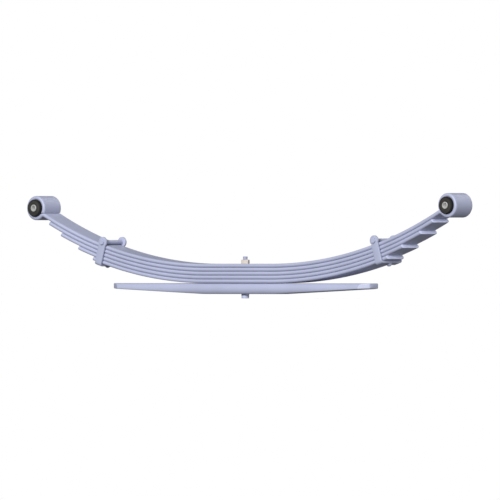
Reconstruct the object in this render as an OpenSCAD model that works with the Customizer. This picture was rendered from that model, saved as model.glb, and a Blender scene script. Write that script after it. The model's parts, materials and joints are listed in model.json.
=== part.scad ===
// Leaf spring: five graduated leaves over one tapered overload leaf, two rubber-bushed
// eyes and two bolted rebound clips.
// Origin: the centre bolt's axis on the axle seat. +Z up, +X towards the longer, rear arm.

/* [Leaves] */
// Width of every leaf, across the spring
leaf_width = 76.2; // [75:0.1:77]
// Thickness of each graduated leaf
leaf_thickness = 11.3; // [11:0.05:11.35]
// Step from one graduated leaf's underside to the next one's
leaf_pitch = 11.4; // [11.4:0.05:11.6]
// Half the length of the straight part that is clamped to the axle seat
seat_half_length = 130; // [120:1:135]
// Bend radius of the main leaf's underside on the front arm
front_bend_radius = 1452; // [1440:1:1470]
// Bend radius of the main leaf's underside on the rear arm
rear_bend_radius = 1470; // [1455:1:1490]
// Distance forward from the centre bolt to the end of leaf 2
leaf_2_front_reach = 744.5; // [715:0.5:746]
// Distance forward from the centre bolt to the end of leaf 3
leaf_3_front_reach = 697.5; // [670:0.5:710]
// Distance forward from the centre bolt to the end of leaf 4
leaf_4_front_reach = 628.5; // [600:0.5:660]
// Distance forward from the centre bolt to the end of leaf 5
leaf_5_front_reach = 570.5; // [565:0.5:590]
// Distance back from the centre bolt to the end of leaf 2
leaf_2_rear_reach = 762.5; // [740:0.5:766]
// Distance back from the centre bolt to the end of leaf 3
leaf_3_rear_reach = 716; // [690:0.5:735]
// Distance back from the centre bolt to the end of leaf 4
leaf_4_rear_reach = 645.5; // [620:0.5:680]
// Distance back from the centre bolt to the end of leaf 5
leaf_5_rear_reach = 587; // [585:0.5:610]

/* [Overload leaf] */
// Thickness of the overload leaf over the axle seat
overload_thickness = 31.75; // [29:0.25:34]
// Thickness of the overload leaf at its tips
overload_tip_thickness = 15.7; // [13:0.1:19]
// Half the overload leaf's length
overload_half_length = 505.5; // [480:0.5:512]
// Half the length over which the overload leaf keeps its full thickness
overload_thick_half_length = 140; // [120:1:170]
// Length of the cut at each corner of the overload leaf
overload_corner_length = 32; // [24:1:40]
// Width of the cut at each corner of the overload leaf
overload_corner_width = 20; // [14:1:26]
// Radius of the overload leaf's bulged side edges
overload_side_radius = 20; // [18:0.5:36]

/* [Eyes] */
// Distance forward from the centre bolt to the front eye's centre
front_eye_reach = 800; // [797:0.5:806]
// Distance back from the centre bolt to the rear eye's centre
rear_eye_reach = 821.5; // [818:0.5:828]
// Inside diameter of each rolled eye
eye_bore = 48.9; // [48.85:0.05:49.2]
// Middle radius of the reverse bend that leads into each eye
eye_root_radius = 15; // [14:0.5:16]
// Height of the front eye's centre above the main leaf's middle line
front_eye_rise = 4.5; // [0:0.5:5]
// Height of the rear eye's centre above the main leaf's middle line
rear_eye_rise = 2; // [0:0.5:5]
// Gap between the rolled end and the reverse bend that leads into each eye
eye_seam_gap = 0.5; // [0.3:0.1:1.5]

/* [Bushes] */
// Outside diameter of the steel shell pressed into each eye
shell_diameter = 48.7; // [48.4:0.05:48.75]
// Length of the steel shell
shell_length = 64; // [58:0.5:65]
// Outside diameter of the inner sleeve
sleeve_diameter = 20.6; // [20:0.1:24]
// Bore of the inner sleeve, for the vehicle's eye bolt
sleeve_bore = 14.5; // [13:0.1:16]
// Length of the inner sleeve
sleeve_length = 94; // [93:0.5:98]

/* [Centre bolt] */
// Diameter of the centre bolt
centre_bolt_diameter = 14.3; // [13:0.1:14.6]
// Diameter of the centre bolt's round locating head
locator_diameter = 22.8; // [20:0.1:24]
// Height of the centre bolt's round locating head
locator_height = 12.6; // [10:0.1:14]
// Size across flats of the centre nut
centre_nut_across_flats = 22.2; // [21:0.1:24]
// Height of the centre nut
centre_nut_height = 12; // [10:0.1:14]
// Length of bolt that shows above the centre nut
centre_bolt_show = 9.7; // [3:0.1:12]

/* [Rebound clips] */
// Distance forward from the centre bolt to the front clip's rivet
front_clip_reach = 544; // [538:1:546]
// Distance back from the centre bolt to the rear clip's rivet
rear_clip_reach = 562; // [557:1:564]
// Width of each clip's band, along the leaves
band_width = 24.5; // [22:0.5:29]
// Diameter of the round ear at each end of a clip's band
ear_diameter = 30.5; // [29:0.5:33]
// Thickness of each clip's band
band_thickness = 6.35; // [5:0.05:7]
// Diameter of each clip's bolt
clip_bolt_diameter = 9.5; // [8:0.1:9.7]
// Outside diameter of the spacer tube on each clip's bolt
spacer_diameter = 12.4; // [11.8:0.1:13.4]
// Height of each clip's bolt above the main leaf's top face
clip_bolt_rise = 7.6; // [7.2:0.1:11]
// Size across flats of each clip bolt's head and nut
clip_bolt_across_flats = 14.3; // [13:0.1:16]
// Diameter of each clip's rivet
rivet_diameter = 9.5; // [8:0.1:11]

/* [Hidden] */

// Smoothness of small and of long curves
small_curve = 64;
long_curve = 240;

// Clearances: between round pieces, around a rivet, under a clip, and beside a clip
round_gap = 0.05;
rivet_gap = 0.15;
clip_under_gap = 0.3;
clip_side_gap = 0.9;
cut_margin = 1;

half_thickness = leaf_thickness / 2;
edge_offset = leaf_width / 2 - half_thickness;
leaf_gap = leaf_pitch - leaf_thickness;
lowest_underside = overload_thickness + leaf_gap;
main_underside = lowest_underside + 4 * leaf_pitch;
pack_top = main_underside + leaf_thickness;
bolt_hole_diameter = centre_bolt_diameter + 0.7;
eye_middle_radius = eye_bore / 2 + half_thickness;
seam_radius = eye_root_radius + eye_middle_radius;

// The rolled end is scarfed so that it keeps the set gap all along the reverse bend
root_clear_radius = eye_root_radius + half_thickness + eye_seam_gap;
eye_end_angle = 12;

// The reverse bend is a shade slimmer than its neighbours, and its ends run inside them
root_inset = 0.03;
root_overlap_angle = 0.4 / eye_root_radius * 180 / PI;

// The bush's steel wall, and the profile of the rubber that stands out beyond it
shell_wall = 1.5;
rubber_step = 41;
rubber_flange_radius = 25;
rubber_flange_end = 45;
rubber_shoulder_radius = 21;
rubber_boss_radius = 15.8;
rubber_end = 46;
rubber_round = 1.6;
sleeve_chamfer = 0.8;

// Chamfers and heads of the bolts, nuts and rivets
nut_chamfer_angle = 30;
bolt_chamfer = 1.4;
locator_chamfer = 1.5;
clip_head_height = 4.6;
clip_nut_height = 8.2;
clip_bolt_show = 4;
rivet_head_radius = 8.6;
rivet_head_height = 7.5;
rivet_sink_radius = 8;
rivet_sink_depth = 3.2;
band_corner = 8.4;
band_inner_corner = 2;
nut_turn = 51;
clip_bolt_turn = 30;

band_inner_half = leaf_width / 2 + clip_side_gap;
band_outer_half = band_inner_half + band_thickness;
band_floor = -clip_under_gap;
band_bottom = band_floor - band_thickness;
clip_bolt_height = 4 * leaf_pitch + leaf_thickness + clip_bolt_rise;

steel = [0.72, 0.75, 0.83];
pale_steel = [0.76, 0.78, 0.85];
rubber = [0.16, 0.16, 0.17];
sleeve_steel = [0.62, 0.62, 0.62];
beige = [0.9, 0.85, 0.8];

// Distance from the bend's centre to the middle of a leaf, counted from the main leaf down
function leaf_middle(number, bend) = bend + (number - 1) * leaf_pitch - half_thickness;
function bend_centre(bend) = [seat_half_length, main_underside + bend];
function radial(angle) = [sin(angle), -cos(angle)];
function eye_distance(bend, rise) = leaf_middle(1, bend) - rise;
function eye_angle(bend, reach, rise) =
    asin((reach - seat_half_length) / eye_distance(bend, rise));
function eye_centre(bend, reach, rise) =
    bend_centre(bend) + eye_distance(bend, rise) * radial(eye_angle(bend, reach, rise));

// A leaf's cross-section, with fully rounded edges, at a distance from the bending axis
module leaf_section(distance, inset) {
    translate([distance, 0]) {
        square([leaf_thickness - 2 * inset, 2 * edge_offset], center = true);
        translate([0, edge_offset])
            circle(r = half_thickness - inset, $fn = small_curve);
        translate([0, -edge_offset])
            circle(r = half_thickness - inset, $fn = small_curve);
    }
}

// A stretch of leaf bent about an axis across the spring
module bent_strip(centre, radius, start, sweep, curve, inset = 0) {
    translate([centre[0], 0, centre[1]])
        rotate([90, 0, 0])
            rotate([0, 0, start])
                rotate_extrude(angle = sweep, $fn = curve)
                    leaf_section(radius, inset);
}

// The straight, clamped middle of a leaf whose underside is at a given height
module straight_strip(underside) {
    translate([-seat_half_length, 0, underside + half_thickness])
        rotate([0, 90, 0])
            linear_extrude(height = 2 * seat_half_length)
                leaf_section(0, 0);
}

// The main leaf's arm towards +X: long bend, reverse bend and rolled eye
module eye_arm(bend, reach, rise) {
    middle = leaf_middle(1, bend);
    far = eye_distance(bend, rise);
    root_distance = middle + eye_root_radius;
    lead = acos((root_distance ^ 2 + far ^ 2 - seam_radius ^ 2) / (2 * root_distance * far));
    root_angle = eye_angle(bend, reach, rise) - lead;
    eye = eye_centre(bend, reach, rise);
    root_centre = bend_centre(bend) + root_distance * radial(root_angle);
    seam = eye - root_centre;
    seam_angle = atan2(seam[1], seam[0]);
    root_turn = 90 + root_angle - seam_angle;
    bent_strip(bend_centre(bend), middle, 270, root_angle, long_curve);
    bent_strip(root_centre, eye_root_radius, seam_angle - root_overlap_angle,
        root_turn + 2 * root_overlap_angle, small_curve, root_inset);
    difference() {
        bent_strip(eye, eye_middle_radius, seam_angle + 180, 360 - eye_end_angle, small_curve);
        scarf(root_centre, seam_angle);
    }
}

// Cuts the rolled end back to clear the reverse bend
module scarf(root_centre, seam_angle) {
    translate([root_centre[0], 0, root_centre[1]])
        rotate([90, 0, 0])
            rotate([0, 0, seam_angle + root_overlap_angle])
                rotate_extrude(angle = 90, $fn = small_curve)
                    translate([0, -leaf_width])
                        square([root_clear_radius, 2 * leaf_width]);
}

// A plain arm of a shorter leaf, cut square at its end
module plain_arm(number, bend, reach) {
    middle = leaf_middle(number, bend);
    bent_strip([seat_half_length, main_underside + bend], middle, 270,
        asin((reach - seat_half_length) / middle), long_curve);
}

module plain_leaf(number, front_reach, rear_reach) {
    straight_strip(main_underside - (number - 1) * leaf_pitch);
    plain_arm(number, rear_bend_radius, rear_reach);
    mirror([1, 0, 0])
        plain_arm(number, front_bend_radius, front_reach);
}

module bolt_hole() {
    translate([0, 0, -cut_margin])
        cylinder(d = bolt_hole_diameter, h = pack_top + 2 * cut_margin, $fn = small_curve);
}

// Places a piece at a clip's rivet on the +X arm, with height 0 at leaf 5's underside
module at_clip(bend, reach) {
    distance = bend + 4 * leaf_pitch;
    translate([seat_half_length, 0, main_underside + bend])
        rotate([0, -asin((reach - seat_half_length) / distance), 0])
            translate([0, 0, -distance])
                children();
}

module at_rear_clip() {
    at_clip(rear_bend_radius, rear_clip_reach)
        children();
}

module at_front_clip() {
    mirror([1, 0, 0])
        at_clip(front_bend_radius, front_clip_reach)
            children();
}

// Places a piece turned about Y at an eye's centre
module at_rear_eye() {
    eye = eye_centre(rear_bend_radius, rear_eye_reach, rear_eye_rise);
    translate([eye[0], 0, eye[1]])
        rotate([90, 0, 0])
            children();
}

module at_front_eye() {
    eye = eye_centre(front_bend_radius, front_eye_reach, front_eye_rise);
    translate([-eye[0], 0, eye[1]])
        rotate([90, 0, 0])
            children();
}

// A hexagon nut or head standing on height 0, with its top corners chamfered
module hexagon(across_flats, height) {
    corner = across_flats / sqrt(3);
    drop = (corner - across_flats / 2 * 0.96) * tan(nut_chamfer_angle);
    intersection() {
        cylinder(r = corner, h = height, $fn = 6);
        rotate_extrude($fn = small_curve)
            polygon([[0, 0], [corner + cut_margin, 0], [corner + cut_margin, height - drop],
                [corner, height - drop], [across_flats / 2 * 0.96, height], [0, height]]);
    }
}

module shell_body() {
    outer = shell_diameter / 2;
    difference() {
        cylinder(r = outer, h = shell_length, center = true, $fn = small_curve);
        cylinder(r = outer - shell_wall, h = shell_length + 2 * cut_margin, center = true,
            $fn = small_curve);
    }
}

// The rubber, bonded around the sleeve and standing out past both sides of the eye
module rubber_body() {
    bore = sleeve_diameter / 2 + round_gap;
    inside = shell_diameter / 2 - shell_wall - round_gap;
    outline = [[inside, shell_length / 2], [rubber_flange_radius, rubber_step],
        [rubber_flange_radius, rubber_flange_end - rubber_round],
        [rubber_flange_radius - rubber_round, rubber_flange_end],
        [rubber_shoulder_radius, rubber_flange_end],
        [rubber_boss_radius, rubber_end], [bore, rubber_end]];
    last = len(outline) - 1;
    rotate_extrude($fn = small_curve)
        polygon(concat(outline, [for (i = [last:-1:0]) [outline[i][0], -outline[i][1]]]));
}

module sleeve_body() {
    inner = sleeve_bore / 2;
    outer = sleeve_diameter / 2;
    end = sleeve_length / 2;
    rotate_extrude($fn = small_curve)
        polygon([[inner, -end], [outer - sleeve_chamfer, -end], [outer, sleeve_chamfer - end],
            [outer, end - sleeve_chamfer], [outer - sleeve_chamfer, end], [inner, end]]);
}

// The band's cross-section, an open U seen along the leaves
module band_section() {
    difference() {
        union() {
            translate([-band_outer_half, band_bottom + band_corner])
                square([2 * band_outer_half, clip_bolt_height + band_width]);
            translate([-band_outer_half + band_corner, band_bottom])
                square([2 * (band_outer_half - band_corner), 2 * band_corner]);
            for (side = [-1, 1])
                translate([side * (band_outer_half - band_corner), band_bottom + band_corner])
                    circle(r = band_corner, $fn = small_curve);
        }
        translate([-band_inner_half, band_floor + band_inner_corner])
            square([2 * band_inner_half, clip_bolt_height + 2 * band_width]);
        translate([-band_inner_half + band_inner_corner, band_floor])
            square([2 * (band_inner_half - band_inner_corner), 2 * band_inner_corner]);
        for (side = [-1, 1])
            translate([side * (band_inner_half - band_inner_corner),
                band_floor + band_inner_corner])
                circle(r = band_inner_corner, $fn = small_curve);
    }
}

// The band's side view: straight sides with a rounded ear around the bolt
module band_outline() {
    translate([-band_width / 2, band_bottom - cut_margin])
        square([band_width, clip_bolt_height - band_bottom + cut_margin]);
    translate([0, clip_bolt_height])
        circle(d = ear_diameter, $fn = small_curve);
}

module band_body() {
    difference() {
        intersection() {
            rotate([90, 0, 90])
                linear_extrude(height = band_width + 2 * cut_margin, center = true)
                    band_section();
            rotate([90, 0, 0])
                linear_extrude(height = 2 * band_outer_half + 2 * cut_margin, center = true)
                    band_outline();
        }
        translate([0, 0, clip_bolt_height])
            rotate([90, 0, 0])
                cylinder(d = clip_bolt_diameter + 2 * round_gap, h = 4 * band_outer_half,
                    center = true, $fn = small_curve);
        translate([0, 0, band_bottom - cut_margin])
            cylinder(d = rivet_diameter + 2 * round_gap, h = band_thickness + 2 * cut_margin,
                $fn = small_curve);
    }
}

// The rivet, domed under the band and sunk flush into the top of leaf 5
module rivet_body() {
    shank = rivet_diameter / 2;
    top = leaf_thickness - round_gap;
    sink = rivet_sink_radius;
    dome_radius = (rivet_head_radius ^ 2 + rivet_head_height ^ 2) / (2 * rivet_head_height);
    rotate_extrude($fn = small_curve)
        polygon([[0, band_bottom], [shank, band_bottom], [shank, top - rivet_sink_depth],
            [sink, top], [0, top]]);
    translate([0, 0, band_bottom])
        intersection() {
            translate([0, 0, dome_radius - rivet_head_height])
                sphere(r = dome_radius, $fn = small_curve);
            translate([0, 0, -rivet_head_height - cut_margin])
                cylinder(r = rivet_head_radius + cut_margin, h = rivet_head_height + cut_margin,
                    $fn = small_curve);
        }
}

// The countersunk hole in leaf 5 that the rivet fills, clear of it all round
module rivet_hole() {
    shank = rivet_diameter / 2 + rivet_gap;
    top = leaf_thickness - round_gap;
    sink = rivet_sink_radius + rivet_gap;
    beyond = leaf_thickness + cut_margin;
    rotate_extrude($fn = small_curve)
        polygon([[0, -cut_margin], [shank, -cut_margin], [shank, top - rivet_sink_depth],
            [sink, top], [sink, beyond], [0, beyond]]);
}

module clip_bolt_body() {
    shank = clip_bolt_diameter / 2;
    length = 2 * band_outer_half + clip_nut_height + clip_bolt_show;
    translate([0, 0, clip_bolt_height])
        rotate([90, 0, 0])
            translate([0, 0, band_outer_half]) {
                rotate([0, 0, clip_bolt_turn])
                    hexagon(clip_bolt_across_flats, clip_head_height);
                mirror([0, 0, 1])
                    rotate_extrude($fn = small_curve)
                        polygon([[0, 0], [shank, 0], [shank, length - bolt_chamfer],
                            [shank - bolt_chamfer, length], [0, length]]);
            }
}

module clip_nut_body() {
    translate([0, band_outer_half, clip_bolt_height])
        rotate([-90, 0, 0])
            difference() {
                rotate([0, 0, clip_bolt_turn])
                    hexagon(clip_bolt_across_flats, clip_nut_height);
                cylinder(d = clip_bolt_diameter + 2 * round_gap, h = 4 * clip_nut_height,
                    center = true, $fn = small_curve);
            }
}

module spacer_body() {
    translate([0, 0, clip_bolt_height])
        rotate([90, 0, 0])
            difference() {
                cylinder(d = spacer_diameter, h = 2 * (band_inner_half - round_gap),
                    center = true, $fn = small_curve);
                cylinder(d = clip_bolt_diameter + 4 * round_gap, h = 4 * band_inner_half,
                    center = true, $fn = small_curve);
            }
}

module main_leaf() {
    color(steel)
        difference() {
            union() {
                straight_strip(main_underside);
                eye_arm(rear_bend_radius, rear_eye_reach, rear_eye_rise);
                mirror([1, 0, 0])
                    eye_arm(front_bend_radius, front_eye_reach, front_eye_rise);
            }
            bolt_hole();
        }
}

module leaf_2() {
    color(steel)
        difference() {
            plain_leaf(2, leaf_2_front_reach, leaf_2_rear_reach);
            bolt_hole();
        }
}

module leaf_3() {
    color(steel)
        difference() {
            plain_leaf(3, leaf_3_front_reach, leaf_3_rear_reach);
            bolt_hole();
        }
}

module leaf_4() {
    color(steel)
        difference() {
            plain_leaf(4, leaf_4_front_reach, leaf_4_rear_reach);
            bolt_hole();
        }
}

module leaf_5() {
    color(steel)
        difference() {
            plain_leaf(5, leaf_5_front_reach, leaf_5_rear_reach);
            bolt_hole();
            at_front_clip()
                rivet_hole();
            at_rear_clip()
                rivet_hole();
        }
}

module overload_leaf() {
    mid = overload_thickness / 2;
    tip = overload_half_length;
    trim = tip - overload_corner_length;
    side = leaf_width / 2;
    side_centre = side - overload_side_radius;
    shoulder = side - overload_corner_width;
    tip_underside = overload_thickness - overload_tip_thickness;
    color(steel)
        difference() {
            intersection() {
                rotate([90, 0, 0])
                    linear_extrude(height = leaf_width + 2 * cut_margin, center = true)
                        polygon([[-overload_thick_half_length, 0],
                            [overload_thick_half_length, 0], [tip, tip_underside],
                            [tip, overload_thickness], [-tip, overload_thickness],
                            [-tip, tip_underside]]);
                rotate([90, 0, 90])
                    linear_extrude(height = 2 * tip + 2 * cut_margin, center = true)
                        union() {
                            translate([-side_centre, -cut_margin])
                                square([2 * side_centre, overload_thickness + 2 * cut_margin]);
                            translate([side_centre, mid])
                                circle(r = overload_side_radius, $fn = small_curve);
                            translate([-side_centre, mid])
                                circle(r = overload_side_radius, $fn = small_curve);
                        }
                translate([0, 0, -cut_margin])
                    linear_extrude(height = overload_thickness + 2 * cut_margin)
                        polygon([[-tip, -shoulder], [-trim, -side - cut_margin],
                            [trim, -side - cut_margin], [tip, -shoulder], [tip, shoulder],
                            [trim, side + cut_margin], [-trim, side + cut_margin],
                            [-tip, shoulder]]);
            }
            bolt_hole();
        }
}

module centre_bolt() {
    shank = centre_bolt_diameter / 2;
    head = locator_diameter / 2;
    end = pack_top + centre_nut_height + centre_bolt_show;
    color(pale_steel)
        rotate_extrude($fn = small_curve)
            polygon([[0, -locator_height], [head - locator_chamfer, -locator_height],
                [head, locator_chamfer - locator_height], [head, 0], [shank, 0],
                [shank, end - bolt_chamfer],
                [shank - bolt_chamfer, end], [0, end]]);
}

module centre_nut() {
    color(beige)
        translate([0, 0, pack_top])
            rotate([0, 0, nut_turn])
                difference() {
                    hexagon(centre_nut_across_flats, centre_nut_height);
                    cylinder(d = centre_bolt_diameter + 2 * round_gap,
                        h = 4 * centre_nut_height, center = true, $fn = small_curve);
                }
}

module front_bush_shell() {
    color(pale_steel)
        at_front_eye()
            shell_body();
}

module front_bush_rubber() {
    color(rubber)
        at_front_eye()
            rubber_body();
}

module front_bush_sleeve() {
    color(sleeve_steel)
        at_front_eye()
            sleeve_body();
}

module rear_bush_shell() {
    color(pale_steel)
        at_rear_eye()
            shell_body();
}

module rear_bush_rubber() {
    color(rubber)
        at_rear_eye()
            rubber_body();
}

module rear_bush_sleeve() {
    color(sleeve_steel)
        at_rear_eye()
            sleeve_body();
}

module front_clip_band() {
    color(steel)
        at_front_clip()
            band_body();
}

module front_clip_rivet() {
    color(pale_steel)
        at_front_clip()
            rivet_body();
}

module front_clip_bolt() {
    color(pale_steel)
        at_front_clip()
            clip_bolt_body();
}

module front_clip_spacer() {
    color(pale_steel)
        at_front_clip()
            spacer_body();
}

module front_clip_nut() {
    color(pale_steel)
        at_front_clip()
            clip_nut_body();
}

module rear_clip_band() {
    color(steel)
        at_rear_clip()
            band_body();
}

module rear_clip_rivet() {
    color(pale_steel)
        at_rear_clip()
            rivet_body();
}

module rear_clip_bolt() {
    color(pale_steel)
        at_rear_clip()
            clip_bolt_body();
}

module rear_clip_spacer() {
    color(pale_steel)
        at_rear_clip()
            spacer_body();
}

module rear_clip_nut() {
    color(pale_steel)
        at_rear_clip()
            clip_nut_body();
}

main_leaf();
leaf_2();
leaf_3();
leaf_4();
leaf_5();
overload_leaf();
centre_bolt();
centre_nut();
front_bush_shell();
front_bush_rubber();
front_bush_sleeve();
rear_bush_shell();
rear_bush_rubber();
rear_bush_sleeve();
front_clip_band();
front_clip_rivet();
front_clip_bolt();
front_clip_spacer();
front_clip_nut();
rear_clip_band();
rear_clip_rivet();
rear_clip_bolt();
rear_clip_spacer();
rear_clip_nut();
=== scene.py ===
import json
import math

import bmesh
import bpy
import numpy as np
from mathutils import Matrix, Vector


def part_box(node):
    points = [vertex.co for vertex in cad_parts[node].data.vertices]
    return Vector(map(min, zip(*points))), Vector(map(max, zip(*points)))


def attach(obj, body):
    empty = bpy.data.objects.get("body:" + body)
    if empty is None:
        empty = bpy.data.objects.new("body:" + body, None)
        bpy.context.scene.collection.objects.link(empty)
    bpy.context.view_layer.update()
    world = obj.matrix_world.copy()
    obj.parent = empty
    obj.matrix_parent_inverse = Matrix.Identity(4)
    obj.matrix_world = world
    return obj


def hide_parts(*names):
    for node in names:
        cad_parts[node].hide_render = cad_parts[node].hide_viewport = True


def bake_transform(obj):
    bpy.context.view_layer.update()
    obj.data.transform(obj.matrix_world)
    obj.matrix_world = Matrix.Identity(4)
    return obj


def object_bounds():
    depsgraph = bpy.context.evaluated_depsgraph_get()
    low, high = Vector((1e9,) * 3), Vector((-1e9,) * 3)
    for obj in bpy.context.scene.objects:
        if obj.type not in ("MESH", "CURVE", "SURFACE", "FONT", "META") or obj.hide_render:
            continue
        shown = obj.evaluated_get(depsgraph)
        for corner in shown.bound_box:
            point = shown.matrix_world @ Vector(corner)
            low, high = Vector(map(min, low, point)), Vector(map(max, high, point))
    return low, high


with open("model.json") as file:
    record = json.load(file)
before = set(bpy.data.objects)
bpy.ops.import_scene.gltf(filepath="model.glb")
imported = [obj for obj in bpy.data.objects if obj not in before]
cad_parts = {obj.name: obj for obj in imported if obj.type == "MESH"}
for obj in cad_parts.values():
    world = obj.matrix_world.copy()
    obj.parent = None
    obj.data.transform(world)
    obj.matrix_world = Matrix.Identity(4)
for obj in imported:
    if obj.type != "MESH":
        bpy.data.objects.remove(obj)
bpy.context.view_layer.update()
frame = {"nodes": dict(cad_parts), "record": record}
RECORD = frame["record"]
MOUNTS = {m["name"]: m for m in RECORD["mounts"]}
SCENE = bpy.context.scene

# ---------------------------------------------------------------- camera

VIEW_AZIMUTH = math.radians(42)
VIEW_WIDTH = 1.465
VIEW_CENTRE_UP = 0.129
VIEW_CENTRE_RIGHT = 0.0137
LENS = 1700
SENSOR = 36


def make_camera():
    data = bpy.data.cameras.new("camera")
    data.lens = LENS
    data.sensor_width = SENSOR
    distance = VIEW_WIDTH * LENS / SENSOR
    data.clip_start = 1
    data.clip_end = 4 * distance
    back = Vector((math.sin(VIEW_AZIMUTH), -math.cos(VIEW_AZIMUTH), 0))
    right = Vector((math.cos(VIEW_AZIMUTH), math.sin(VIEW_AZIMUTH), 0))
    target = right * VIEW_CENTRE_RIGHT + Vector((0, 0, VIEW_CENTRE_UP))
    obj = bpy.data.objects.new("camera", data)
    obj.location = target + back * distance
    obj.rotation_mode = "QUATERNION"
    obj.rotation_quaternion = (-back).to_track_quat("-Z", "Y")
    SCENE.collection.objects.link(obj)
    SCENE.camera = obj


make_camera()

# ---------------------------------------------------------------- sizes, in metres

# PITCH is from one leaf's underside to the next. EDGE is where a leaf's round edge begins.
PITCH = 0.0114
THICK = 0.0113
HALF = THICK / 2
WIDTH = 0.0762
EDGE = WIDTH / 2 - HALF
# SEAT is half the flat length in the middle. BEND is the radius of the main leaf's underside beyond it.
SEAT = 0.130
BEND = {"front": 1.452, "rear": 1.470}
# EYE_ROOT is the radius of the reverse bend's middle line. EYE_GAP is left between it and the rolled end.
# EYE_END is how far short of a full turn the eye stops.
EYE_ROOT = 0.015
EYE_BORE = 0.0489
EYE_GAP = 0.0005
EYE_END = math.radians(12)
# FIT_GAP keeps pieces that fit in or against each other from sharing a surface.
FIT_GAP = 0.00005
# The angle from one section to the next: along an arm, along the reverse bend and round the eye.
LEAF_STEP = 0.009
ROOT_STEP = math.radians(6)
EYE_STEP = math.radians(4)
SIDES = {"front": -1, "rear": 1}
LEAVES = ["main_leaf", "leaf_2", "leaf_3", "leaf_4", "leaf_5"]

_, overload_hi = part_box("overload_leaf")
LOWEST = overload_hi.z + PITCH - THICK
MAIN_UNDER = LOWEST + 4 * PITCH
EYES = {s: Vector(MOUNTS[s + "_eye"]["pos_m"]) for s in SIDES}


# ---------------------------------------------------------------- meshes

def make_object(name, verts, faces, sharp=40):
    mesh = bpy.data.meshes.new(name)
    mesh.from_pydata([tuple(v) for v in verts], [], faces)
    mesh.validate()
    mesh.update()
    rest = mesh.attributes.new("rest", "FLOAT_VECTOR", "POINT")
    flat = np.zeros(len(mesh.vertices) * 3, np.float32)
    mesh.vertices.foreach_get("co", flat)
    rest.data.foreach_set("vector", flat)
    obj = bpy.data.objects.new(name, mesh)
    SCENE.collection.objects.link(obj)
    mesh.shade_smooth()
    mesh.set_sharp_from_angle(angle=math.radians(sharp))
    return obj


def skin(rings, close_start=True, wrap=True, loop=False):
    """Quads over equal rings of points. Flat ends close it, but not a loop, nor the start if that is off."""
    count = len(rings[0])
    verts = [p for ring in rings for p in ring]
    faces = []
    spans = len(rings) if loop else len(rings) - 1
    for i in range(spans):
        a, b = i * count, ((i + 1) % len(rings)) * count
        for k in range(count if wrap else count - 1):
            n = (k + 1) % count
            faces.append((a + k, a + n, b + n, b + k))
    if close_start and not loop:
        faces.append(tuple(range(count))[::-1])
    if not loop:
        faces.append(tuple(range((len(rings) - 1) * count, len(rings) * count)))
    return verts, faces


def face_outwards(obj):
    bm = bmesh.new()
    bm.from_mesh(obj.data)
    bmesh.ops.recalc_face_normals(bm, faces=bm.faces)
    bm.to_mesh(obj.data)
    bm.free()
    return obj


def lathe(name, profile, place, around=64, sharp=35):
    """Turns (radius, height) pairs about +Z, then places the result."""
    rings = []
    for i in range(around):
        a = 2 * math.pi * i / around
        ring = []
        for r, h in profile:
            ring.append(place @ Vector((r * math.cos(a), r * math.sin(a), h)))
        rings.append(ring)
    verts, faces = skin(rings, wrap=False, loop=True)
    obj = make_object(name, verts, faces, sharp)
    weld(obj)
    return face_outwards(obj)


def weld(obj, distance=1e-6):
    bm = bmesh.new()
    bm.from_mesh(obj.data)
    bmesh.ops.remove_doubles(bm, verts=bm.verts, dist=distance)
    bm.to_mesh(obj.data)
    bm.free()


def rounded(points, radius, steps=4):
    """Rounds the corners of an open (radius, height) outline."""
    out = [points[0]]
    for a, b, c in zip(points, points[1:], points[2:]):
        a, b, c = Vector(a), Vector(b), Vector(c)
        u, v = (a - b), (c - b)
        lu, lv = u.length, v.length
        if lu < 1e-9 or lv < 1e-9:
            out.append(tuple(b))
            continue
        u.normalize()
        v.normalize()
        turn = math.acos(max(-1, min(1, u.dot(v))))
        if turn > math.radians(170):
            out.append(tuple(b))
            continue
        back = min(radius / math.tan(turn / 2), 0.45 * lu, 0.45 * lv)
        r = back * math.tan(turn / 2)
        centre = b + (u + v).normalized() * (r / math.sin(turn / 2))
        p, q = b + u * back, b + v * back
        a0 = math.atan2(p.y - centre.y, p.x - centre.x)
        a1 = math.atan2(q.y - centre.y, q.x - centre.x)
        d = (a1 - a0 + math.pi) % (2 * math.pi) - math.pi
        for i in range(steps + 1):
            t = a0 + d * i / steps
            out.append((centre.x + r * math.cos(t), centre.y + r * math.sin(t)))
    out.append(points[-1])
    return out


# ---------------------------------------------------------------- the leaves

def leaf_section(inset=0.0, flats=8, turns=12):
    """Points (up, across) round a leaf with fully rounded edges."""
    pts = []
    r = HALF - inset
    for i in range(flats):
        pts.append((r, -EDGE + 2 * EDGE * i / flats))
    for i in range(turns):
        a = math.pi / 2 - math.pi * i / turns
        pts.append((r * math.sin(a), EDGE + r * math.cos(a)))
    for i in range(flats):
        pts.append((-r, EDGE - 2 * EDGE * i / flats))
    for i in range(turns):
        a = -math.pi / 2 - math.pi * i / turns
        pts.append((r * math.sin(a), -EDGE + r * math.cos(a)))
    return pts


def quarter_turn(steps=4):
    return [math.pi / 2 * i / steps for i in range(steps + 1)]


def steps_between(a, b, size):
    n = max(1, math.ceil(abs(b - a) / size))
    return [a + (b - a) * i / n for i in range(n + 1)]


class Path:
    """The leaf's middle line in the X-Z plane of a +X arm: x, z and direction, in order."""

    def __init__(self):
        self.stations = []

    def add(self, x, z, angle):
        if self.stations:
            px, pz, _ = self.stations[-1]
            if math.hypot(x - px, z - pz) < 1e-5:
                return
        self.stations.append((x, z, angle))

    def line(self, x0, x1, z, size=0.013):
        for x in steps_between(x0, x1, size):
            self.add(x, z, 0.0)

    def turn_left(self, cx, cz, radius, a0, a1, size):
        for a in steps_between(a0, a1, size):
            self.add(cx + radius * math.sin(a), cz - radius * math.cos(a), a)

    def turn_right(self, cx, cz, radius, a0, a1, size):
        for a in steps_between(a0, a1, size):
            self.add(cx - radius * math.sin(a), cz + radius * math.cos(a), a)


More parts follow.
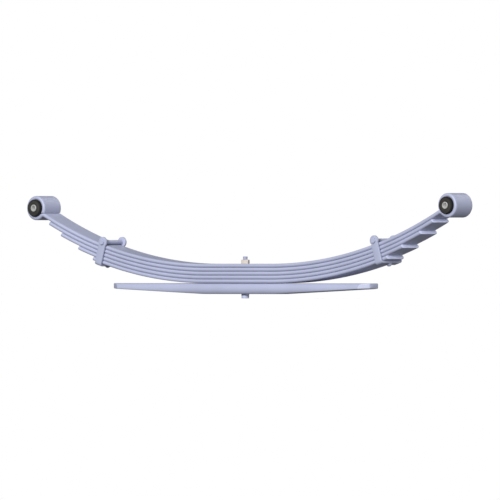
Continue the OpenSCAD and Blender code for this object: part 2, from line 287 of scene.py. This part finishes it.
def sweep_leaf(name, path, side, end_round=0.0004, lowest=None):
    """Skins a leaf section along a path, rounds the far end a little, and mirrors it for the front arm.

    With lowest, the section is cut off below the height that lowest(direction) gives.
    """
    rings = []
    plain = leaf_section()
    last_x, last_z, last_a = path.stations[-1]
    stations = [(x, z, a, 0.0) for x, z, a in path.stations[:-1]]
    while math.hypot(stations[-1][0] - last_x, stations[-1][1] - last_z) < 2 * end_round:
        stations.pop()
    for t in quarter_turn():
        back = end_round * (1 - math.sin(t))
        stations.append((last_x - back * math.cos(last_a), last_z - back * math.sin(last_a),
                         last_a, end_round * (1 - math.cos(t))))
    for x, z, a, inset in stations:
        pts = leaf_section(inset) if inset > 0 else plain
        if lowest:
            low = lowest(a)
            pts = [(max(up, low), across) for up, across in pts]
        rings.append([Vector((side * (x - up * math.sin(a)), across, z + up * math.cos(a)))
                      for up, across in pts])
    verts, faces = skin(rings, close_start=False)
    obj = make_object(name, verts, faces)
    # The last ring's points mark the far end, which the leaf paint makes lighter there: painted light.
    cut = obj.data.attributes.new("cut", "FLOAT", "POINT")
    count = len(rings[0])
    cut.data.foreach_set("value", [float(i >= len(verts) - count) for i in range(len(verts))])
    return face_outwards(obj)


def scarf(seam):
    """How low the rolled end's section may reach at each turn, so that it clears the reverse bend."""
    ring = EYE_BORE / 2 + HALF
    far = EYE_ROOT + ring
    clear = EYE_ROOT + HALF + EYE_GAP

    def lowest(angle):
        left = seam + 2 * math.pi - angle
        off = far * math.sin(left)
        if left > math.pi / 2 or off >= clear:
            return -HALF
        return ring - (far * math.cos(left) - math.sqrt(clear ** 2 - off ** 2))
    return lowest


def main_path(side_name):
    bend = BEND[side_name]
    eye = EYES[side_name]
    ex, ez = abs(eye.x), eye.z
    cx, cz = SEAT, MAIN_UNDER + bend
    middle = bend - HALF
    ring = EYE_BORE / 2 + HALF
    far = math.hypot(ex - cx, ez - cz)
    eye_angle = math.asin((ex - cx) / far)
    root_far = middle + EYE_ROOT
    lead = math.acos((root_far ** 2 + far ** 2 - (EYE_ROOT + ring) ** 2) / (2 * root_far * far))
    root = eye_angle - lead
    ax, az = cx + root_far * math.sin(root), cz - root_far * math.cos(root)
    seam = math.atan2(ez - az, ex - ax) - math.pi / 2
    path = Path()
    path.line(0, SEAT, MAIN_UNDER + HALF)
    path.turn_left(cx, cz, middle, 0, root, LEAF_STEP)
    path.turn_right(ax, az, EYE_ROOT, root, seam, ROOT_STEP)
    path.turn_left(ex, ez, ring, seam, seam + 2 * math.pi - EYE_END, EYE_STEP)
    return path, scarf(seam)


def plain_path(number, side_name):
    node = LEAVES[number - 1]
    lo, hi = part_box(node)
    reach = hi.x if side_name == "rear" else -lo.x
    bend = BEND[side_name]
    under = bend + (number - 1) * PITCH
    end = math.asin((reach - SEAT) / under)
    path = Path()
    z = MAIN_UNDER - (number - 1) * PITCH + HALF
    path.line(0, SEAT, z)
    path.turn_left(SEAT, MAIN_UNDER + bend, under - HALF, 0, end, LEAF_STEP)
    return path


# ---------------------------------------------------------------- materials

# Sockets of a Mix node that mixes colours.
MIX_FACTOR = 0
MIX_A = 6
MIX_B = 7
MIX_RESULT = 2
# How deep the paint's orange peel, the metal's lines and the rubber's grain are.
PEEL_DEPTH = 0.00008
LINE_DEPTH = 0.00005
GRAIN_DEPTH = 0.0001
# How much of the scuffs shows, and how much lighter they are than the paint.
SCUFF_SHOWS = 0.12
SCUFF_LIGHTER = 1.25
# How much lighter the leaves' cut ends are painted, as painted light standing in for light falling on them,
# and how much darker the rubber's outer lip is than the rest.
CUT_END_PAINTED_LIGHT = 1.65
RIM_DARKER = 0.2


def material(name, colour, rough=0.5, metal=0.0):
    mat = bpy.data.materials.new(name)
    mat.use_nodes = True
    tree = mat.node_tree
    shader = tree.nodes["Principled BSDF"]
    shader.inputs["Base Color"].default_value = (*colour, 1)
    shader.inputs["Roughness"].default_value = rough
    shader.inputs["Metallic"].default_value = metal
    return mat, tree, shader


def node(tree, kind, **values):
    made = tree.nodes.new(kind)
    for key, value in values.items():
        if key in made.inputs:
            made.inputs[key].default_value = value
        else:
            setattr(made, key, value)
    return made


def place_on(tree, own, scale=(1, 1, 1)):
    """Coordinates that stay with the surface: a built piece's rest place, or a CAD node's own place."""
    if own:
        source = node(tree, "ShaderNodeAttribute", attribute_name="rest").outputs["Vector"]
    else:
        source = node(tree, "ShaderNodeTexCoord").outputs["Object"]
    mapping = node(tree, "ShaderNodeMapping")
    mapping.inputs["Scale"].default_value = scale
    tree.links.new(source, mapping.inputs["Vector"])
    return mapping.outputs["Vector"]


def noise(tree, where, scale, detail=4.0, rough=0.5):
    made = node(tree, "ShaderNodeTexNoise", Scale=scale, Detail=detail, Roughness=rough)
    tree.links.new(where, made.inputs["Vector"])
    return made.outputs["Fac"]


def ramp(tree, fac, stops):
    made = node(tree, "ShaderNodeValToRGB")
    elements = made.color_ramp.elements
    while len(elements) < len(stops):
        elements.new(0.5)
    for e, (at, colour) in zip(elements, stops):
        e.position = at
        e.color = (*colour, 1)
    tree.links.new(fac, made.inputs["Fac"])
    return made.outputs["Color"]


def bump(tree, shader, fac, strength, distance):
    made = node(tree, "ShaderNodeBump", Strength=strength, Distance=distance)
    tree.links.new(fac, made.inputs["Height"])
    tree.links.new(made.outputs["Normal"], shader.inputs["Normal"])


def shade(colour, k):
    return tuple(min(1.0, c * k) for c in colour)


def painted(name, colour, rough=0.46, painted_light_ends=False):
    """Smooth satin paint: slow changes of tone, a few fine scuffs along the leaves, faint orange peel. It
    can also paint light onto the leaves' cut ends, as a lighter colour there.
    """
    mat, tree, shader = material(name, colour, rough)
    slow = noise(tree, place_on(tree, True), 9, 3)
    tone = ramp(tree, slow, [(0.3, shade(colour, 0.96)), (0.7, shade(colour, 1.04))])
    scuff = noise(tree, place_on(tree, True, (3, 60, 60)), 14, 6, 0.65)
    marks = ramp(tree, scuff, [(0.66, (0, 0, 0)), (0.74, (1, 1, 1))])
    mix = node(tree, "ShaderNodeMix", data_type="RGBA")
    strength = node(tree, "ShaderNodeMath", operation="MULTIPLY")
    strength.inputs[1].default_value = SCUFF_SHOWS
    tree.links.new(marks, strength.inputs[0])
    tree.links.new(strength.outputs[0], mix.inputs[MIX_FACTOR])
    tree.links.new(tone, mix.inputs[MIX_A])
    mix.inputs[MIX_B].default_value = (*shade(colour, SCUFF_LIGHTER), 1)
    painted_all = mix.outputs[MIX_RESULT]
    # Painted light: the faces marked cut, the leaves' far ends, get a lighter colour.
    if painted_light_ends:
        ends = node(tree, "ShaderNodeMix", data_type="RGBA")
        mask = node(tree, "ShaderNodeAttribute", attribute_name="cut")
        tree.links.new(mask.outputs["Fac"], ends.inputs[MIX_FACTOR])
        tree.links.new(painted_all, ends.inputs[MIX_A])
        ends.inputs[MIX_B].default_value = (*shade(colour, CUT_END_PAINTED_LIGHT), 1)
        painted_all = ends.outputs[MIX_RESULT]
    tree.links.new(painted_all, shader.inputs["Base Color"])
    fine = noise(tree, place_on(tree, True), 420, 2)
    spread = node(tree, "ShaderNodeMapRange")
    spread.inputs["To Min"].default_value = rough - 0.05
    spread.inputs["To Max"].default_value = rough + 0.06
    tree.links.new(slow, spread.inputs["Value"])
    tree.links.new(spread.outputs["Result"], shader.inputs["Roughness"])
    bump(tree, shader, fine, 0.25, PEEL_DEPTH)
    return mat


def metal(name, colour, own=True, rough=0.36, grain=(1, 1, 40), metallic=0.85):
    """Turned or plated metal: fine lines one way, with slow changes of tone."""
    mat, tree, shader = material(name, colour, rough, metallic)
    lines = noise(tree, place_on(tree, own, grain), 160, 3, 0.6)
    tone = ramp(tree, lines, [(0.25, shade(colour, 0.9)), (0.75, shade(colour, 1.08))])
    tree.links.new(tone, shader.inputs["Base Color"])
    slow = noise(tree, place_on(tree, own), 45, 3)
    spread = node(tree, "ShaderNodeMapRange")
    spread.inputs["To Min"].default_value = rough - 0.07
    spread.inputs["To Max"].default_value = rough + 0.08
    tree.links.new(slow, spread.inputs["Value"])
    tree.links.new(spread.outputs["Result"], shader.inputs["Roughness"])
    bump(tree, shader, lines, 0.3, LINE_DEPTH)
    return mat


def rubber(name, colour):
    """Moulded rubber: nearly black, dusty in patches, with a fine grain."""
    mat, tree, shader = material(name, colour, 0.62)
    shader.inputs["Specular IOR Level"].default_value = 0.3
    patches = noise(tree, place_on(tree, True), 60, 5, 0.6)
    tone = ramp(tree, patches, [(0.3, shade(colour, 0.8)), (0.72, shade(colour, 1.35))])
    edge = node(tree, "ShaderNodeMix", data_type="RGBA")
    mask = node(tree, "ShaderNodeAttribute", attribute_name="rim")
    tree.links.new(mask.outputs["Fac"], edge.inputs[MIX_FACTOR])
    tree.links.new(tone, edge.inputs[MIX_A])
    edge.inputs[MIX_B].default_value = (*shade(colour, RIM_DARKER), 1)
    tree.links.new(edge.outputs[MIX_RESULT], shader.inputs["Base Color"])
    grain = noise(tree, place_on(tree, True), 1400, 2)
    bump(tree, shader, grain, 0.35, GRAIN_DEPTH)
    spread = node(tree, "ShaderNodeMapRange")
    spread.inputs["To Min"].default_value = 0.5
    spread.inputs["To Max"].default_value = 0.75
    tree.links.new(patches, spread.inputs["Value"])
    tree.links.new(spread.outputs["Result"], shader.inputs["Roughness"])
    return mat


PAINT = (0.37, 0.392, 0.53)
MATERIALS = {
    "leaf_steel": painted("leaf_paint", PAINT, painted_light_ends=True),
    "clip_steel": painted("clip_paint", shade(PAINT, 0.98), rough=0.4),
    "bolt_steel": painted("bolt_paint", shade(PAINT, 1.02), rough=0.4),
    "plated_nut": painted("nut_plating", (0.56, 0.505, 0.445), rough=0.5),
    "sleeve_steel": metal("sleeve_steel", (0.43, 0.43, 0.42), rough=0.5, metallic=0.15),
    "bush_rubber": rubber("bush_rubber", (0.028, 0.0272, 0.0245)),
    "shell_steel": metal("shell_steel", (0.5, 0.5, 0.5), own=False),
}


def finish_piece(obj, slot, nodes, body=None):
    obj.data.materials.clear()
    obj.data.materials.append(MATERIALS[slot])
    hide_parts(*nodes)
    if body:
        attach(obj, body)
    return obj


for number, name in enumerate(LEAVES, 1):
    for side_name, side in SIDES.items():
        lowest = None
        if number == 1:
            path, lowest = main_path(side_name)
        else:
            path = plain_path(number, side_name)
        half = sweep_leaf(name + "_" + side_name + "_half", path, side, lowest=lowest)
        finish_piece(half, "leaf_steel", [name])
        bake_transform(half)


# ---------------------------------------------------------------- the overload leaf

# Half the length that stays full thickness. Beyond it the leaf tapers to TIP_THICK.
THICK_HALF = 0.140
CORNER_LENGTH = 0.032
CORNER_WIDTH = 0.020
SIDE_RADIUS = 0.020
TIP_THICK = 0.0157
OVERLOAD_EDGE = 0.0026
# Spacing of its sections: in general, round the cut corners and where the taper starts.
# Of two that come closer than CLOSEST_STATIONS, only one is kept.
OVERLOAD_STEP = 0.012
CORNER_STEP = 0.0006
TAPER_STEP = 0.006
CLOSEST_STATIONS = 0.00025


def overload_leaf():
    tip = overload_hi.x
    top = overload_hi.z
    trim = tip - CORNER_LENGTH
    half_width = overload_hi.y

    def underside(x):
        x = abs(x)
        if x <= THICK_HALF:
            return 0.0
        return (top - TIP_THICK) * (x - THICK_HALF) / (tip - THICK_HALF)

    def side_at(z):
        d = z - top / 2
        return half_width - SIDE_RADIUS + math.sqrt(SIDE_RADIUS ** 2 - d ** 2)

    def half_at(x):
        over = abs(x) - trim
        return half_width - over * CORNER_WIDTH / CORNER_LENGTH if over > 0 else math.inf

    xs = steps_between(-tip, tip, OVERLOAD_STEP)
    for s in (-1, 1):
        xs += [s * x for x in steps_between(trim - 0.002, trim + 0.008, CORNER_STEP)]
        xs += [s * x for x in steps_between(THICK_HALF - 0.03, THICK_HALF + 0.03, TAPER_STEP)]
    for t in quarter_turn():
        xs += [s * (tip - OVERLOAD_EDGE * (1 - math.sin(t))) for s in (-1, 1)]
    xs = sorted(set(round(x, 6) for x in xs))
    kept = [xs[0]]
    for x in xs[1:]:
        if x - kept[-1] > CLOSEST_STATIONS:
            kept.append(x)
    kept[-1] = tip

    rings = []
    for x in kept:
        over = max(0.0, OVERLOAD_EDGE - (tip - abs(x)))
        inset = OVERLOAD_EDGE - math.sqrt(max(0.0, OVERLOAD_EDGE ** 2 - over ** 2))
        lo = underside(x) + inset
        hi = top - inset
        outline = []
        for t in quarter_turn():
            z = lo + OVERLOAD_EDGE * (1 - math.cos(t))
            outline.append((z, OVERLOAD_EDGE * (1 - math.sin(t))))
        for i in range(1, 8):
            outline.append((lo + OVERLOAD_EDGE + (hi - lo - 2 * OVERLOAD_EDGE) * i / 8, 0.0))
        for t in quarter_turn():
            z = hi - OVERLOAD_EDGE * (1 - math.sin(t))
            outline.append((z, OVERLOAD_EDGE * (1 - math.cos(t))))
        near = [(z, min(side_at(z), half_at(x)) - back - inset) for z, back in outline]
        across = 8
        y_top, y_low = near[-1][1], near[0][1]
        ring = [Vector((x, y, z)) for z, y in near]
        ring += [Vector((x, y_top - 2 * y_top * i / across, hi)) for i in range(1, across)]
        ring += [Vector((x, -y, z)) for z, y in reversed(near)]
        ring += [Vector((x, -y_low + 2 * y_low * i / across, lo)) for i in range(1, across)]
        rings.append(ring)
    verts, faces = skin(rings)
    obj = make_object("overload_leaf_body", verts, faces, 24)
    return face_outwards(obj)


finish_piece(overload_leaf(), "leaf_steel", ["overload_leaf"], "pack")


# ---------------------------------------------------------------- nuts and bolts

# How far the edge of the flat side, and the edge of the hole on the other side, are cut back.
EDGE_BREAK = 0.0003
HOLE_BREAK = 0.0006


def hexagon(name, across_flats, z0, z1, place, around=96, hole=None, crown=0.95):
    """A hexagon with chamfered corners from z0 to z1. With a hole it is a nut."""
    flat = across_flats / 2
    rim = flat * crown
    slope = math.tan(math.radians(30))
    inner = hole or 0.0
    rings = []
    for i in range(around):
        a = 2 * math.pi * i / around
        k = (a % (math.pi / 3)) - math.pi / 6
        r = flat / math.cos(k)
        drop = (r - rim) * slope
        pts = [(inner, z0), (r - EDGE_BREAK, z0), (r, z0 + EDGE_BREAK), (r, z1 - drop), (rim, z1)]
        if hole:
            pts += [(inner + HOLE_BREAK, z1), (inner, z1 - HOLE_BREAK)]
        else:
            pts += [(inner, z1)]
        rings.append([place @ Vector((p * math.cos(a), p * math.sin(a), h)) for p, h in pts])
    verts, faces = skin(rings, wrap=bool(hole), loop=True)
    obj = make_object(name, verts, faces, 22)
    weld(obj)
    return face_outwards(obj)


def threaded(name, radius, z0, z1, place, pitch=0.0018, depth=0.0009, around=48, chamfer=0.0014):
    """A rod with a real screw thread and a chamfered end at z1."""
    rows = max(2, math.ceil((z1 - z0) / pitch * 8))
    rings = []
    for j in range(rows + 1):
        z = z0 + (z1 - z0) * j / rows
        ring = []
        for i in range(around):
            a = 2 * math.pi * i / around
            f = (z / pitch - i / around) % 1
            tooth = abs(2 * f - 1)
            groove = depth * min(1, max(0, 1.25 * tooth - 0.12))
            r = radius - groove
            r = min(r, radius - chamfer + (z1 - z))
            ring.append(place @ Vector((r * math.cos(a), r * math.sin(a), z)))
        rings.append(ring)
    verts, faces = skin(rings)
    obj = make_object(name, verts, faces, 60)
    return face_outwards(obj)


UP = Matrix.Identity(4)
bolt_lo, bolt_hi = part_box("centre_bolt")
nut_lo, nut_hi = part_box("centre_nut")
BOLT_R = 0.00715
HEAD_R = bolt_hi.x
BOLT_ROUND = 0.0005
# How far the plain shank reaches into the nut, where the thread takes over.
SHANK_LAP = 0.001
LOCATOR_CHAMFER = 0.0015
# The locating head is painted lighter than the other bolts: painted light, standing in for light where the
# overload leaf shades it.
LOCATOR_PAINTED_LIGHT = 1.5
NUT_TURN = math.radians(51)
NUT_FLATS = 0.0222

head = lathe("centre_bolt_body", rounded([(0, bolt_lo.z), (HEAD_R - LOCATOR_CHAMFER, bolt_lo.z),
             (HEAD_R, bolt_lo.z + LOCATOR_CHAMFER), (HEAD_R, 0), (BOLT_R, 0),
             (BOLT_R, nut_lo.z + SHANK_LAP), (0, nut_lo.z + SHANK_LAP)], BOLT_ROUND), UP)
finish_piece(head, "bolt_steel", ["centre_bolt"], "pack")
# Painted light: the locating head gets its own, lighter paint.
head.data.materials[0] = painted("locator_painted_light", shade(PAINT, LOCATOR_PAINTED_LIGHT), rough=0.4)
thread = threaded("centre_bolt_thread", BOLT_R, nut_lo.z, bolt_hi.z, UP)
finish_piece(thread, "bolt_steel", ["centre_bolt"], "pack")
centre_nut = hexagon("centre_nut_body", NUT_FLATS, nut_lo.z, nut_hi.z,
                     Matrix.Rotation(NUT_TURN, 4, "Z"), hole=BOLT_R + FIT_GAP)
finish_piece(centre_nut, "plated_nut", ["centre_nut"], "pack")

# ---------------------------------------------------------------- the rebound clips

# How far from the centre bolt each clip sits. Its own origin is on leaf 5's underside.
CLIP_REACH = {"front": 0.544, "rear": 0.562}
BAND_W = 0.0245
EAR = 0.01525
BAND_T = 0.00635
BAND_CORNER = 0.0084
BAND_SOFT = 0.0009
BAND_STEP = 0.008
EAR_TIP = 0.0006
BAND_IN = WIDTH / 2 + 0.0009
BAND_OUT = BAND_IN + BAND_T
BAND_FLOOR = -0.0003
BAND_BOTTOM = BAND_FLOOR - BAND_T
CLIP_BOLT_UP = 4 * PITCH + THICK + 0.0076
CLIP_BOLT_R = 0.00475
CLIP_FLATS = 0.0143
SPACER_R = 0.0062
CLIP_HEAD = 0.0046
CLIP_NUT = 0.0082
CLIP_BOLT_OUT = 0.0122
SPACER_IN = 0.0049
SPACER_ROUND = 0.0004
RIVET_HEAD = 0.0075
RIVET_HEAD_R = 0.0086
RIVET_R = 0.00475
RIVET_SINK_R = 0.008
RIVET_SINK = 0.0032
RIVET_TOP = THICK - 0.00006


def clip_place(side_name):
    side = SIDES[side_name]
    bend = BEND[side_name]
    far = bend + 4 * PITCH
    a = math.asin((CLIP_REACH[side_name] - SEAT) / far)
    base = Vector((side * (SEAT + far * math.sin(a)), 0, MAIN_UNDER + bend - far * math.cos(a)))
    return Matrix.Translation(base) @ Matrix.Rotation(-side * a, 4, "Y")


def clip_band(name, place):
    """A flat band bent in a U, with a round ear each side and softened edges."""
    corner = BAND_CORNER - BAND_T / 2
    mid = BAND_IN + BAND_T / 2
    low = BAND_BOTTOM + BAND_T / 2
    line = []
    half = BAND_W / 2
    for i in range(25):
        t = math.pi / 2 - (math.pi / 2 + math.acos(half / EAR)) * i / 24
        line.append((-mid, CLIP_BOLT_UP + EAR * math.sin(t), (0, -1), max(EAR_TIP, EAR * math.cos(t))))
    neck = line[-1][1]
    line[-2] = (-mid, line[-2][1], (0, -1), line[-2][3] * 0.7 + half * 0.3)
    for z in steps_between(neck - 0.002, low + corner, BAND_STEP):
        line.append((-mid, z, (0, -1), half))
    for i in range(1, 9):
        t = math.pi + math.pi / 2 * i / 8
        line.append((-mid + corner + corner * math.cos(t), low + corner + corner * math.sin(t),
                     (math.cos(t + math.pi / 2), math.sin(t + math.pi / 2)), half))
    for y in steps_between(-mid + corner, 0, BAND_STEP)[1:]:
        line.append((y, low, (1, 0), half))
    line += [(-y, z, (d[0], -d[1]), w) for y, z, d, w in reversed(line[:-1])]
    rings = []
    for y, z, d, w in line:
        normal = Vector((0, d[1], -d[0]))
        ring = []
        r = min(BAND_SOFT, w * 0.9)
        for sx, sn in ((1, 1), (1, -1), (-1, -1), (-1, 1)):
            start = {(1, 1): 90, (1, -1): 0, (-1, -1): -90, (-1, 1): 180}[(sx, sn)]
            for i in range(4):
                t = math.radians(start - 30 * i)
                ring.append(Vector((sx * (w - r) + r * math.cos(t), y, z))
                            + normal * (sn * (BAND_T / 2 - r) + r * math.sin(t)))
        rings.append([place @ p for p in ring])
    verts, faces = skin(rings)
    return face_outwards(make_object(name, verts, faces, 40))


def dome(radius, height, z0, steps=10):
    """The (radius, height) outline of a round head that hangs below z0."""
    big = (radius ** 2 + height ** 2) / (2 * height)
    edge = math.asin(radius / big)
    return [(big * math.sin(edge * i / steps), z0 - height + big - big * math.cos(edge * i / steps))
            for i in range(steps + 1)]


for side_name in SIDES:
    place = clip_place(side_name)
    body = side_name + "_arm"
    start = side_name + "_clip_"
    finish_piece(clip_band(start + "band_body", place), "clip_steel", [start + "band"], body)

    profile = dome(RIVET_HEAD_R, RIVET_HEAD, BAND_BOTTOM)
    profile += [(RIVET_R, BAND_BOTTOM), (RIVET_R, THICK - RIVET_SINK),
                (RIVET_SINK_R, RIVET_TOP), (0, RIVET_TOP)]
    rivet = lathe(start + "rivet_body", profile, place, 48)
    finish_piece(rivet, "bolt_steel", [start + "rivet"], body)

    axis = place @ Matrix.Translation((0, 0, CLIP_BOLT_UP))
    turn = Matrix.Rotation(math.radians(30), 4, "Z")
    near = axis @ Matrix.Rotation(math.pi / 2, 4, "X") @ turn
    far = axis @ Matrix.Rotation(-math.pi / 2, 4, "X") @ turn
    bolt_head = hexagon(start + "bolt_head", CLIP_FLATS, BAND_OUT, BAND_OUT + CLIP_HEAD, near)
    finish_piece(bolt_head, "bolt_steel", [start + "bolt"], body)
    shank = threaded(start + "bolt_shank", CLIP_BOLT_R, -BAND_OUT, BAND_OUT + CLIP_BOLT_OUT, far,
                     pitch=0.0015, depth=0.0007, around=32)
    finish_piece(shank, "bolt_steel", [start + "bolt"], body)
    nut = hexagon(start + "nut_body", CLIP_FLATS, BAND_OUT, BAND_OUT + CLIP_NUT, far,
                  hole=CLIP_BOLT_R + FIT_GAP)
    finish_piece(nut, "bolt_steel", [start + "nut"], body)
    end = BAND_IN - FIT_GAP
    spacer = lathe(start + "spacer_body", rounded([(SPACER_IN, 0), (SPACER_IN, -end), (SPACER_R, -end),
                   (SPACER_R, end), (SPACER_IN, end), (SPACER_IN, 0)], SPACER_ROUND), near, 48)
    finish_piece(spacer, "bolt_steel", [start + "spacer"], body)

# ---------------------------------------------------------------- the bushes

SLEEVE_IN = 0.00725
SLEEVE_OUT = 0.0103
SLEEVE_END = 0.047
SLEEVE_IN_BREAK = 0.0005
SLEEVE_OUT_BREAK = 0.0008
FLANGE_R = 0.025
FLANGE_START = 0.041
FLANGE_END = 0.045
SHOULDER_R = 0.021
BOSS_R = 0.0158
RUBBER_END = 0.046
RUBBER_ROUND = 0.0014
# The rubber is cut back round the sleeve by this much across and this much deep.
BORE_FLARE = 0.0016
BORE_DEPTH = 0.0012
# The darker lip is what lies beyond both of these.
RIM_FROM_R = SHOULDER_R + 0.0005
RIM_FROM_HEIGHT = 0.038
SHELL_IN = 0.02285
SHELL_END = 0.032


def rubber_outline():
    bore = SLEEVE_OUT + FIT_GAP
    inside = SHELL_IN - FIT_GAP
    return [(bore, 0), (inside, 0), (inside, SHELL_END), (FLANGE_R, FLANGE_START),
            (FLANGE_R, FLANGE_END), (SHOULDER_R, FLANGE_END), (BOSS_R, RUBBER_END),
            (bore + BORE_FLARE, RUBBER_END), (bore, RUBBER_END - BORE_DEPTH)]


def both_sides(half, radius):
    shaped = rounded(half, radius)
    shaped = [p for p in shaped if p[1] > 1e-6]
    return shaped + [(r, -h) for r, h in reversed(shaped)] + [shaped[0]]


def mark_rim(obj, place):
    """Marks the outer lip of the rubber, which is darker than its face."""
    back = place.inverted()
    values = []
    for v in obj.data.vertices:
        p = back @ (obj.matrix_world @ v.co)
        values.append(float(math.hypot(p.x, p.y) > RIM_FROM_R and abs(p.z) > RIM_FROM_HEIGHT))
    obj.data.attributes.new("rim", "FLOAT", "POINT").data.foreach_set("value", values)


for side_name, eye in EYES.items():
    along = Matrix.Translation(eye) @ Matrix.Rotation(math.pi / 2, 4, "X")
    start = side_name + "_bush_"
    tyre = lathe(start + "rubber_body", both_sides(rubber_outline(), RUBBER_ROUND), along, 72)
    mark_rim(tyre, along)
    finish_piece(tyre, "bush_rubber", [start + "rubber"], side_name + "_arm")
    half = [(SLEEVE_IN, SLEEVE_END - SLEEVE_IN_BREAK), (SLEEVE_IN + SLEEVE_IN_BREAK, SLEEVE_END),
            (SLEEVE_OUT - SLEEVE_OUT_BREAK, SLEEVE_END), (SLEEVE_OUT, SLEEVE_END - SLEEVE_OUT_BREAK)]
    loop = half + [(r, -h) for r, h in reversed(half)] + [half[0]]
    sleeve = lathe(start + "sleeve_body", loop, along, 72)
    finish_piece(sleeve, "sleeve_steel", [start + "sleeve"], side_name + "_sleeve")
    shell = frame["nodes"][start + "shell"]
    shell.data.materials.clear()
    shell.data.materials.append(MATERIALS["shell_steel"])

# ---------------------------------------------------------------- floor and light

FLOOR_REACH = 3.0
FLOOR_DROP = 0.0002
FLOOR_GLOW = 0.36


def make_floor():
    lo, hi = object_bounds()
    z = lo.z - FLOOR_DROP
    r = FLOOR_REACH
    obj = make_object("floor", [(-r, -r, z), (r, -r, z), (r, r, z), (-r, r, z)], [(0, 1, 2, 3)])
    mat, tree, shader = material("floor_paper", (0.93, 0.93, 0.93), 0.9)
    slow = noise(tree, place_on(tree, True), 2.0, 2)
    tone = ramp(tree, slow, [(0.3, (0.92, 0.92, 0.92)), (0.7, (0.94, 0.94, 0.94))])
    tree.links.new(tone, shader.inputs["Base Color"])
    shader.inputs["Emission Color"].default_value = (1, 1, 1, 1)
    shader.inputs["Emission Strength"].default_value = FLOOR_GLOW
    obj.data.materials.append(mat)
    obj.visible_diffuse = False
    obj.visible_glossy = False
    obj.visible_shadow = False


make_floor()

ROOM_LIGHT = 0.11
# Name, energy, and then in degrees: how soft, which way round from the front, how high.
SUNS = [
    ("key", 2.8, 12, 20, 14),
    ("high_key", 1.5, 20, 22, 40),
    ("overhead", 0.12, 40, 0, 85),
    ("end_light", 0.62, 20, 92, 5),
    ("low_light", 0.32, 40, 92, -45),
    ("back_light", 0.8, 40, 180, 24),
]


def make_sun(name, energy, spread, azimuth, up):
    sun = bpy.data.lights.new(name, "SUN")
    sun.energy = energy
    sun.angle = spread
    obj = bpy.data.objects.new(name, sun)
    back = Vector((math.sin(azimuth) * math.cos(up), -math.cos(azimuth) * math.cos(up), math.sin(up)))
    obj.rotation_mode = "QUATERNION"
    obj.rotation_quaternion = back.to_track_quat("Z", "Y")
    SCENE.collection.objects.link(obj)


def make_light():
    for name, energy, soft, azimuth, up in SUNS:
        make_sun(name, energy, math.radians(soft), math.radians(azimuth), math.radians(up))
    world = bpy.data.worlds.new("room")
    world.use_nodes = True
    SCENE.world = world
    tree = world.node_tree
    tree.nodes.clear()
    out = tree.nodes.new("ShaderNodeOutputWorld")
    seen = tree.nodes.new("ShaderNodeBackground")
    seen.inputs["Color"].default_value = (1, 1, 1, 1)
    seen.inputs["Strength"].default_value = 1.0
    lit = tree.nodes.new("ShaderNodeBackground")
    lit.inputs["Color"].default_value = (0.95, 0.97, 1, 1)
    lit.inputs["Strength"].default_value = ROOM_LIGHT
    rays = tree.nodes.new("ShaderNodeLightPath")
    mix = tree.nodes.new("ShaderNodeMixShader")
    tree.links.new(rays.outputs["Is Camera Ray"], mix.inputs[0])
    tree.links.new(lit.outputs[0], mix.inputs[1])
    tree.links.new(seen.outputs[0], mix.inputs[2])
    tree.links.new(mix.outputs[0], out.inputs["Surface"])


make_light()

SCENE.view_settings.view_transform = "Standard"
SCENE.view_settings.look = "None"

bpy.context.view_layer.update()
